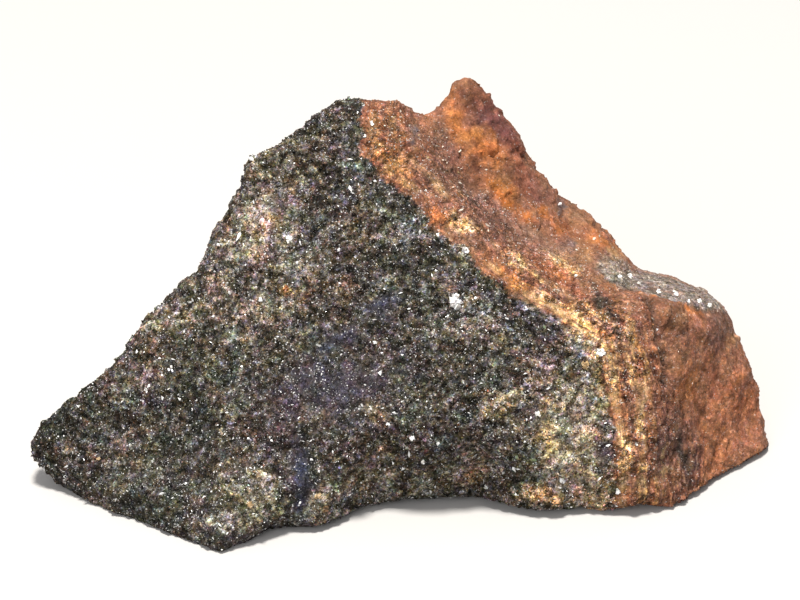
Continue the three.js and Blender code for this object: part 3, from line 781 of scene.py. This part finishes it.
def rockColour(tree, place):
    # the mesh's tone broken up into clumps, grains, specks and thin layers, each with a tint of its own, and
    # painted glints laid on top
    grainy, specky = meshValue(tree, "grainy"), meshValue(tree, "specky")
    clump = noisePattern(tree, place, speckle["clump"], 3)
    dust = noisePattern(tree, place, speckle["dust"], 3)
    frayed = (speckle["dust"] * mm,) * 3
    warped = vectorMath(tree, "MULTIPLY_ADD", dust.outputs["Color"], frayed, place)
    _, grain = grainPattern(tree, warped, speckle["grain"])
    _, speck = grainPattern(tree, place, speckle["speck"])
    clumpParts = colourParts(tree, clump.outputs["Color"])
    dustParts = colourParts(tree, dust.outputs["Color"])
    depths = {"X": meshValue(tree, "past"), "Y": meshValue(tree, "along")}
    layerPlace = addNode(tree, "ShaderNodeCombineXYZ", depths).outputs["Vector"]
    layer = noisePattern(tree, layerPlace, speckle["layer"] / mm, 3)
    colour = meshValue(tree, "tone", "Color")
    for share, value, look in (
            (grainy, clump.outputs["Fac"], "clumpShades"), (grainy, dust.outputs["Fac"], "dustShades"),
            (grainy, grain["Red"], "grainShades"), (specky, speck["Red"], "speckShades"),
            (grainy, clumpParts["Green"], "warmOrCool"), (grainy, clumpParts["Blue"], "oliveOrViolet"),
            (grainy, dustParts["Green"], "warmOrCool"), (grainy, dustParts["Blue"], "oliveOrViolet"),
            (meshValue(tree, "layered"), layer.outputs["Fac"], "layerShades")):
        factor = mixed(tree, share, (1, 1, 1), ramp(tree, value, speckle[look]))
        colour = vectorMath(tree, "MULTIPLY", colour, factor)
    # painted highlights: a few tiny cells turn near white as glints, fewer in dark clumps
    _, glint = grainPattern(tree, place, speckle["glint"])
    light = mixed(tree, glint["Green"], colour, speckle["paintedGlintTone"])
    share = mixed(tree, specky, (0, 0, 0), ramp(tree, glint["Red"], speckle["glints"]))
    clumped = ramp(tree, clump.outputs["Fac"], speckle["paintedGlintClumps"])
    return mixed(tree, vectorMath(tree, "MULTIPLY", share, clumped), colour, light)


gloss = {
    "rockRoughness": (0.45, 0.9), "rockSpecular": 0.08,
    "faceWidth": 0.3, "faceTilt": (0.15, 0.9),       # mm across, and the bump of smooth and grainy places
    "gritWidth": 0.4, "gritHeight": 0.1,             # mm
    "gritStrength": 0.5,
    "patchWidth": 0.8, "patchSpread": (0.7, 1.3),    # mm, and how a grain's roughness varies
}


def rockFinish():
    finish, tree, shader = newFinish("grainy weathered rock")
    place = patternPlace(tree)
    cells, part = grainPattern(tree, place, gloss["faceWidth"])
    # each grain's face tilts its own way
    inCell = vectorMath(tree, "SUBTRACT", place, cells.outputs["Position"])
    tilt = vectorMath(tree, "SUBTRACT", cells.outputs["Color"], (0.5, 0.5, 0.5))
    faces = addNode(tree, "ShaderNodeBump", {
        "Strength": stretched(tree, meshValue(tree, "grainy"), (0, 1), gloss["faceTilt"]),
        "Height": vectorMath(tree, "DOT_PRODUCT", inCell, tilt), "Distance": 1.0})
    grit = addNode(tree, "ShaderNodeBump", {
        "Strength": gloss["gritStrength"], "Distance": gloss["gritHeight"] * mm,
        "Height": noisePattern(tree, place, gloss["gritWidth"], 4).outputs["Fac"],
        "Normal": faces.outputs["Normal"]})
    fill(tree, shader, {
        "Base Color": rockColour(tree, place), "Specular IOR Level": gloss["rockSpecular"],
        "Roughness": stretched(tree, part["Green"], (0, 1), gloss["rockRoughness"]),
        "Normal": grit.outputs["Normal"]})
    return finish


def grainFinish(name, roughness, specular):
    finish, tree, shader = newFinish(name)
    place = patternPlace(tree)
    worn = noisePattern(tree, place, gloss["patchWidth"], 1).outputs["Fac"]
    low, high = gloss["patchSpread"]
    fill(tree, shader, {
        "Base Color": rockColour(tree, place), "Specular IOR Level": specular,
        "Roughness": stretched(tree, worn, (0.3, 0.7), (roughness * low, roughness * high))})
    return finish


weatheredRock.data.materials.clear()
weatheredRock.data.materials.append(rockFinish())
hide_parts("hornfels")
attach(weatheredRock, "root")
print("stone finished")


# mineral grains set in the surface

# a block and an eight-sided chip, as corners and three-sided faces
blockCorners = np.array([[x, y, z] for x in (-1, 1) for y in (-1, 1) for z in (-1, 1)], float)
blockFaces = [(0, 1, 3), (0, 3, 2), (4, 6, 7), (4, 7, 5), (0, 4, 5), (0, 5, 1),
              (2, 3, 7), (2, 7, 6), (0, 2, 6), (0, 6, 4), (1, 5, 7), (1, 7, 3)]
block = (blockCorners, blockFaces)
chipCorners = np.array([[1, 0, 0], [-1, 0, 0], [0, 1, 0], [0, -1, 0], [0, 0, 1], [0, 0, -1]], float)
chipFaces = [(0, 2, 4), (2, 1, 4), (1, 3, 4), (3, 0, 4), (2, 0, 5), (1, 2, 5), (3, 1, 5), (0, 3, 5)]
chip = (chipCorners, chipFaces)

grains = {
    "spacing": 0.315,               # mm between grains
    "size": 0.13, "spread": 0.3,    # mm, half width, and how much it varies
    "shape": (0.6, 1.3),            # half widths to that size
    "sunk": 0.45,                   # share of the half width that a grain's middle lies below the surface
    "sunkSpread": (0.3, 1.7),
    "glossy": 0.12,                 # share of the grains
    "tintSpread": 0.12,
    "grainy": 0.9,                  # their own speckle to the rock's
    "perPiece": 24000,
    "seed": 12,
    "glossyFinish": (0.16, 0.4), "dullFinish": (0.65, 0.08),    # roughness, specular
}

# grain shades against the rock around them: how common, how bright, tint
shades = [
    (14, 0.45, (1.06, 1.0, 0.84)), (16, 0.75, (0.96, 1.03, 0.84)), (14, 0.8, (1.02, 0.94, 1.12)),
    (24, 0.95, (1.04, 1.0, 0.94)), (16, 1.15, (1.05, 0.98, 0.98)), (9, 1.6, (1.0, 1.0, 0.98)),
    (4, 2.8, (0.96, 1.0, 1.02)), (1.2, 1.2, (1.5, 1.0, 0.5)),
]

# what grains, flecks and crystals share
solids = {
    "tries": 3,          # draws for each small cube of space
    "lowest": 0.5,       # mm above the floor
    "floorGap": 0.02,    # mm between any corner and the floor
    "shake": 0.35,       # how far corners are moved, to the half width
}


def surfaceSpots(mesh, spacing, draw):
    # about one spot on the surface in each small cube of space
    mesh.calc_loop_triangles()
    corners = readRows(mesh.loop_triangles, "vertices", 3, np.int32)
    points = readPoints(mesh)
    a, b, c = (points[corners[:, n]] for n in range(3))
    normals = np.cross(b - a, c - a)
    area = np.linalg.norm(normals, axis=1) / 2
    count = int(area.sum() / spacing ** 2 * solids["tries"])
    pick = draw.choice(len(area), count, p=area / area.sum())
    u, v = draw.random((2, count))
    over = u + v > 1
    u, v = np.where(over, 1 - u, u), np.where(over, 1 - v, v)
    middles = a[pick] + u[:, None] * (b - a)[pick] + v[:, None] * (c - a)[pick]
    out = normals[pick] / (2 * area[pick])[:, None]
    _, first = np.unique(np.floor(middles / spacing).astype(np.int64), axis=0, return_index=True)
    first.sort()
    keep = first[middles[first, 2] > solids["lowest"]]
    return middles[keep], out[keep]


def randomTurns(count, draw):
    # one evenly random rotation each
    q = draw.normal(size=(count, 4))
    w, x, y, z = (q / np.linalg.norm(q, axis=1)[:, None]).T
    return np.stack([
        np.stack([1 - 2 * (y * y + z * z), 2 * (x * y - z * w), 2 * (x * z + y * w)], 1),
        np.stack([2 * (x * y + z * w), 1 - 2 * (x * x + z * z), 2 * (y * z - x * w)], 1),
        np.stack([2 * (x * z - y * w), 2 * (y * z + x * w), 1 - 2 * (x * x + y * y)], 1)], 1)


def manySolids(name, form, middles, turns, sizes, colours, numbers, draw):
    # one mesh of many small closed solids
    corners, faces = form
    count, perSolid, sides = len(middles), len(corners), len(faces[0])
    shake = solids["shake"] * draw.uniform(-1, 1, (count, *corners.shape))
    shapes = (corners[None] + shake) * sizes[:, None, :]
    points = np.einsum("nij,nkj->nki", turns, shapes) + middles[:, None, :]
    points[..., 2] = np.maximum(points[..., 2], solids["floorGap"])
    pattern = np.array(faces).ravel()
    index = (pattern[None] + perSolid * np.arange(count)[:, None]).ravel().astype(np.int32)
    mesh = bpy.data.meshes.new(name)
    mesh.vertices.add(count * perSolid)
    mesh.vertices.foreach_set("co", (points * mm).astype(np.float32).ravel())
    mesh.loops.add(len(index))
    mesh.loops.foreach_set("vertex_index", index)
    mesh.polygons.add(len(index) // sides)
    mesh.polygons.foreach_set("loop_start", np.arange(0, len(index), sides, dtype=np.int32))
    mesh.polygons.foreach_set("loop_total", np.full(len(index) // sides, sides, np.int32))
    mesh.update(calc_edges=True)
    mesh.shade_flat()
    saveColour(mesh, "tone", np.repeat(colours, perSolid, axis=0))
    for key, values in numbers.items():
        saveNumber(mesh, key, np.repeat(values, perSolid))
    piece = bpy.data.objects.new(name, mesh)
    bpy.context.scene.collection.objects.link(piece)
    print("  ", name, count)
    return piece


def plainNumbers(count, grainy):
    # what the finishes read, for pieces that have no layers and no specks of their own
    numbers = dict.fromkeys(("grainy", "specky", "layered", "past", "along"), np.zeros(count))
    numbers["grainy"] = np.full(count, float(grainy))
    return numbers


def picked(values, chosen):
    return {name: numbers[chosen] for name, numbers in values.items()}


def grainCover(kinds):
    # the share of places that hold a grain
    cover = 1 - 0.45 * kinds["fine"] - 0.6 * kinds["bluish"]
    bare = 0.7 - 0.6 * kinds["granular"] - 0.3 * kinds["ledge"] + 0.15 * kinds["end"]
    cover *= 1 - kinds["rust"] * bare
    return cover * (1 - 0.5 * kinds["smooth"] * (1 - kinds["ledge"]))


def grainColours(places, kinds, draw):
    common = np.array([share for share, _, _ in shades], float)
    choice = draw.choice(len(shades), len(places), p=common / common.sum())
    factor = np.array([bright * np.array(hue) for _, bright, hue in shades])[choice]
    factor = factor * np.exp(grains["tintSpread"] * draw.normal(size=(len(places), 3)))
    calm = 1 - 0.5 * kinds["rust"] * (1 - kinds["granular"])
    return groundTone(places, kinds) * factor ** calm[:, None]


def makeGrains():
    draw = np.random.default_rng(grains["seed"])
    places, out = surfaceSpots(weatheredRock.data, grains["spacing"], draw)
    kinds = rockKinds(places)
    keep = draw.random(len(places)) < grainCover(kinds)
    places, out, kinds = places[keep], out[keep], picked(kinds, keep)
    count = len(places)
    colours = grainColours(places, kinds, draw)
    numbers = surfaceNumbers(kinds)
    numbers["grainy"] = grains["grainy"] * numbers["grainy"]
    size = grains["size"] * draw.lognormal(0, grains["spread"], count)
    size = size * (1 - 0.25 * kinds["rust"]) * (1 - 0.25 * kinds["fine"])
    sizes = size[:, None] * draw.uniform(*grains["shape"], (count, 3))
    sunk = size * grains["sunk"] * draw.uniform(*grains["sunkSpread"], count)
    middles = places - out * sunk[:, None]
    turns = randomTurns(count, draw)
    glossy = draw.random(count) < grains["glossy"]
    made = []
    for name, chosen, finish in (
            ("glossyGrains", glossy, grainFinish("glossy mineral grain", *grains["glossyFinish"])),
            ("dullGrains", ~glossy, grainFinish("dull mineral grain", *grains["dullFinish"]))):
        every = np.flatnonzero(chosen)
        batches = np.array_split(every, math.ceil(len(every) / grains["perPiece"]))
        for number, batch in enumerate(batches, 1):
            piece = manySolids(f"{name}{number}", chip, middles[batch], turns[batch], sizes[batch],
                               colours[batch], picked(numbers, batch), draw)
            piece.data.materials.append(finish)
            made.append(piece)
    return made


flecks = {
    "spacing": 0.6,                 # mm between places that may hold a fleck
    "size": 0.07, "spread": 0.5,    # mm, half width, and how much it varies
    "shape": (1.5, 0.9, 0.5),       # half widths to that size
    "stretch": (0.7, 1.3),
    "raised": 0.1,
    "common": 0.22,                 # share of the places
    "clusters": (2.4, 1.6),         # how strongly they gather, and over how many mm
    "bright": (0.5, 1.0),
    "strawShare": 0.55, "strawBright": 1.3,    # on the rind
    "finish": (0.35, 0.5),          # roughness, specular
}


def makeFlecks():
    # bright little cleavage faces that catch the light; their near-white colour is partly the flakes' own
    # and partly painted glints
    draw = np.random.default_rng(grains["seed"] + 1)
    places, out = surfaceSpots(weatheredRock.data, flecks["spacing"], draw)
    kinds = rockKinds(places)
    odds = flecks["common"] * (1 + 1.2 * kinds["pale"]) * (1 - 0.4 * kinds["bluish"])
    onRust = 0.04 + 0.28 * kinds["golden"] + 0.4 * kinds["granular"] + 0.7 * kinds["ledge"]
    odds = odds * (1 - kinds["rust"]) + kinds["rust"] * onRust
    pull, width = flecks["clusters"]
    odds = odds * np.exp(pull * layeredNoise(places, width, 2, 170))
    keep = draw.random(len(places)) < odds * (1 - 0.8 * kinds["end"])
    places, out, kinds = places[keep], out[keep], picked(kinds, keep)
    count = len(places)
    size = flecks["size"] * draw.lognormal(0, flecks["spread"], count) * (1 - 0.2 * kinds["rust"])
    sizes = size[:, None] * np.array(flecks["shape"]) * draw.uniform(*flecks["stretch"], (count, 3))
    # near-white colour: partly pale mineral, partly painted glint
    straw = tones["straw"] * flecks["strawBright"]
    colours = blend(np.tile(tones["white"], (count, 1)), straw, flecks["strawShare"] * kinds["rust"])
    colours = colours * draw.uniform(*flecks["bright"], (count, 1))
    middles = places + out * (flecks["raised"] * size)[:, None]
    piece = manySolids("brightFlecks", chip, middles, randomTurns(count, draw), sizes, colours,
                       plainNumbers(count, 0), draw)
    piece.data.materials.append(grainFinish("bright fleck with painted glint", *flecks["finish"]))
    return [piece]


clusters = {
    "spacing": 0.16,                # mm between places that may hold a crystal
    "sizes": (0.4, 1.15),           # half widths to the cluster's own
    "facing": (-0.15, 0.6),         # they face at least this far to the front, or at least this far up
    "reach": (0.4, 0.6),            # a cluster's radius to its half width, and what more crystals add
    "bright": (0.6, 1.1),
    "grainy": 0.2,
    "finish": (0.35, 0.5),          # roughness, specular
}


def makeCrystals():
    # the larger crystals of the front face and the ledge, in small clusters; white ones are partly real pale
    # crystals and partly painted glints
    draw = np.random.default_rng(grains["seed"] + 2)
    places, out = surfaceSpots(weatheredRock.data, clusters["spacing"], draw)
    front, up = clusters["facing"]
    places = places[(out[:, 1] < front) | (out[:, 2] > up)]
    onFront = onFace(places)
    near, more = clusters["reach"]
    middles, sizes, colours = [], [], []
    for middle, half, count, tone in crystals:
        reach = half * (near + more * math.sqrt(count))
        inReach = np.flatnonzero(np.linalg.norm(onFront - middle, axis=1) / reach < 1)
        if len(inReach) == 0:
            continue
        chosen = draw.choice(inReach, min(2 * count, len(inReach)), replace=False)
        middles.append(places[chosen])
        sizes.append(half * draw.uniform(*clusters["sizes"], (len(chosen), 3)))
        colours.append(tones[tone] * draw.uniform(*clusters["bright"], (len(chosen), 1)))
    middles, sizes, colours = (np.concatenate(part) for part in (middles, sizes, colours))
    count = len(middles)
    piece = manySolids("largeCrystals", block, middles, randomTurns(count, draw), sizes, colours,
                       plainNumbers(count, clusters["grainy"]), draw)
    piece.data.materials.append(grainFinish("large pale crystal", *clusters["finish"]))
    return [piece]


for piece in makeGrains() + makeFlecks() + makeCrystals():
    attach(piece, "root")
print("grains set")


# floor, light and camera

studio = {
    "floorHalf": 3, "floorTone": (0.37, 0.355, 0.34), "floorRoughness": 0.95,    # m
    "worldTone": (1.0, 1.0, 1.02), "worldStrength": 0.75,
    "lightAim": (0, 0, 0.02),    # m
    "key": {"at": (-0.04, -0.17, 0.82), "size": 0.16, "power": 15.5, "tone": (1.0, 0.985, 0.95)},
    "fill": {"at": (-0.3, -0.7, 0.4), "size": 0.5, "power": 3.5, "tone": (0.95, 0.97, 1.0)},
}


def areaLight(name, spec):
    data = bpy.data.lights.new(name, "AREA")
    data.shape = "DISK"
    data.size = spec["size"]
    data.energy = spec["power"]
    data.color = spec["tone"]
    lamp = bpy.data.objects.new(name, data)
    bpy.context.scene.collection.objects.link(lamp)
    lamp.location = spec["at"]
    lamp.rotation_euler = (Vector(studio["lightAim"]) - lamp.location).to_track_quat("-Z", "Y").to_euler()


def makeStudio():
    scene = bpy.context.scene
    mesh = bpy.data.meshes.new("paleFloor")
    half = studio["floorHalf"]
    corners = [(-half, -half, 0), (half, -half, 0), (half, half, 0), (-half, half, 0)]
    mesh.from_pydata(corners, [], [(0, 1, 2, 3)])
    floor = bpy.data.objects.new("paleFloor", mesh)
    scene.collection.objects.link(floor)
    finish, tree, shader = newFinish("pale floor")
    fill(tree, shader, {"Base Color": (*studio["floorTone"], 1), "Roughness": studio["floorRoughness"]})
    mesh.materials.append(finish)
    world = bpy.data.worlds.new("soft white room")
    world.use_nodes = True
    back = {"Color": (*studio["worldTone"], 1), "Strength": studio["worldStrength"]}
    fill(world.node_tree, world.node_tree.nodes["Background"], back)
    scene.world = world
    areaLight("keyLight", studio["key"])
    areaLight("fillLight", studio["fill"])
    scene.view_settings.view_transform = "Standard"
    scene.view_settings.look = "None"


view = {
    "lens": 166.5, "sensor": 36,                  # mm
    "distance": 0.425, "nearest": 0.01,           # m
    "elevation": 28.0,                            # degrees
    "aim": (-0.00057, -0.004351, 0.0234),         # m
}


def makeCamera():
    data = bpy.data.cameras.new("camera")
    data.lens = view["lens"]
    data.sensor_width = view["sensor"]
    data.clip_start = view["nearest"]
    camera = bpy.data.objects.new("camera", data)
    bpy.context.scene.collection.objects.link(camera)
    rise = math.radians(view["elevation"])
    back = Vector((0, -math.cos(rise), math.sin(rise))) * view["distance"]
    camera.location = Vector(view["aim"]) + back
    camera.rotation_euler = (-back).to_track_quat("-Z", "Y").to_euler()
    bpy.context.scene.camera = camera


makeStudio()
makeCamera()
print("studio ready")
